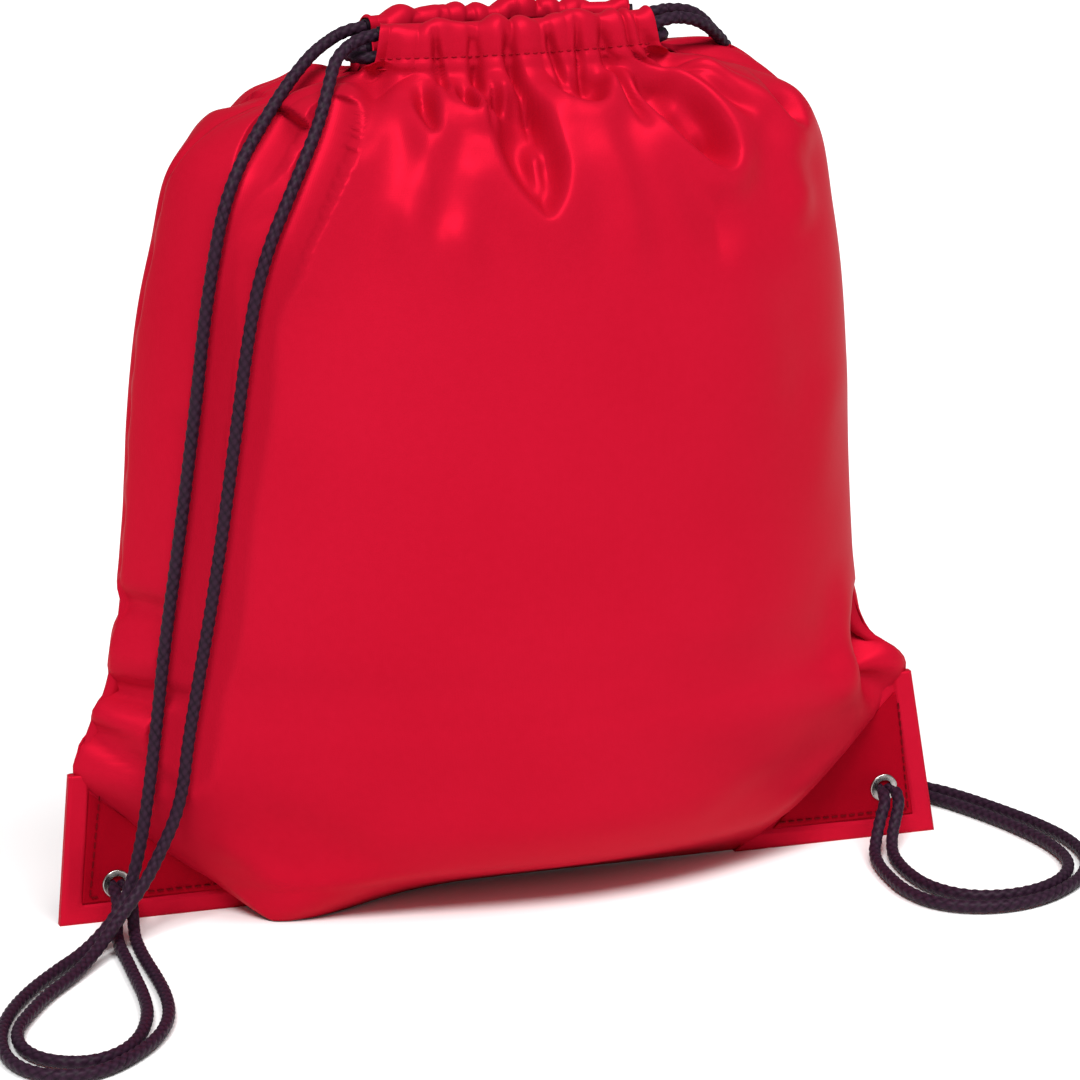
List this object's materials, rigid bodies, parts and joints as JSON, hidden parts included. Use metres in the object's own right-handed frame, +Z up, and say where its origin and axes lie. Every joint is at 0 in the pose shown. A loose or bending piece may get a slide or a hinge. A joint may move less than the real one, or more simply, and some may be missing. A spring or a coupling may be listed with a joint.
{
  "type": "drawstring backpack",
  "caption": "Stuffed drawstring sack that stands upright, with a gathered mouth, flat bottom ears, metal eyelets and braided cord shoulder straps.",
  "frame": {"origin": "middle of the flat base, on the ground", "axes": "+X to the right along the width, -Y out of the front panel, +Z up to the mouth"},
  "size_m": [0.4588, 0.2378, 0.343],
  "materials": {
    "cloth": "plain-woven polyester with a soft satin sheen",
    "patch": "smooth artificial leather, slightly glossy",
    "eyelet": "polished nickel plate",
    "cord": "braided polyester cord",
    "thread": "sewing thread"
  },
  "bodies": {
    "root": {"back_panel_belly": "cloth", "back_panel_chest": "cloth", "back_panel_foot": "cloth", "back_panel_gather": "cloth", "bottom_seam": "cloth", "front_panel_belly": "cloth", "front_panel_chest": "cloth", "front_panel_foot": "cloth", "front_panel_gather": "cloth", "left_cord_back_lead": "cord", "left_cord_bridge": "cord", "left_cord_front_lead": "cord", "left_side_seam": "cloth", "left_strap_back_strand": "cord", "left_strap_front_strand": "cord", "right_cord_back_lead": "cord", "right_cord_bridge": "cord", "right_cord_front_lead": "cord", "right_side_seam": "cloth", "right_strap_back_strand": "cord", "right_strap_front_strand": "cord"},
    "front_hem": {"front_channel": "cloth", "front_channel_stitches": "thread", "left_cord_front_run": "cord", "right_cord_front_run": "cord"},
    "back_hem": {"back_channel": "cloth", "back_channel_stitches": "thread", "left_cord_back_run": "cord", "right_cord_back_run": "cord"},
    "left_ear": {"left_ear_back_cloth": "cloth", "left_ear_back_patch": "patch", "left_ear_front_cloth": "cloth", "left_ear_front_patch": "patch", "left_ear_stitches": "thread", "left_eyelet": "eyelet", "left_eyelet_washer": "eyelet", "left_knot": "cord"},
    "right_ear": {"right_ear_back_cloth": "cloth", "right_ear_back_patch": "patch", "right_ear_front_cloth": "cloth", "right_ear_front_patch": "patch", "right_ear_stitches": "thread", "right_eyelet": "eyelet", "right_eyelet_washer": "eyelet", "right_knot": "cord"}
  },
  "joints": [
    {"name": "front_hem_opens", "type": "slide", "parent": "root", "child": "front_hem", "axis": [0, -1, 0], "range_m": [-0.002, 0.022], "deforming": ["left_cord_front_lead", "right_cord_front_lead", "left_cord_bridge", "right_cord_bridge"]},
    {"name": "back_hem_opens", "type": "slide", "parent": "root", "child": "back_hem", "axis": [0, 1, 0], "range_m": [-0.002, 0.022], "deforming": ["left_cord_back_lead", "right_cord_back_lead", "left_cord_bridge", "right_cord_bridge"]},
    {"name": "left_ear_flex", "type": "hinge", "parent": "root", "child": "left_ear", "pos_m": [-0.101, 0, 0], "axis": [0.7415, 0, -0.671], "range_deg": [-25, 25], "deforming": ["left_strap_back_strand", "left_strap_front_strand"]},
    {"name": "right_ear_flex", "type": "hinge", "parent": "root", "child": "right_ear", "pos_m": [0.101, 0, 0], "axis": [0.7415, 0, 0.671], "range_deg": [-25, 25], "deforming": ["right_strap_back_strand", "right_strap_front_strand"]}
  ],
  "couplings": [
    {"joint": "back_hem_opens", "follows": "front_hem_opens", "ratio": 1}
  ]
}
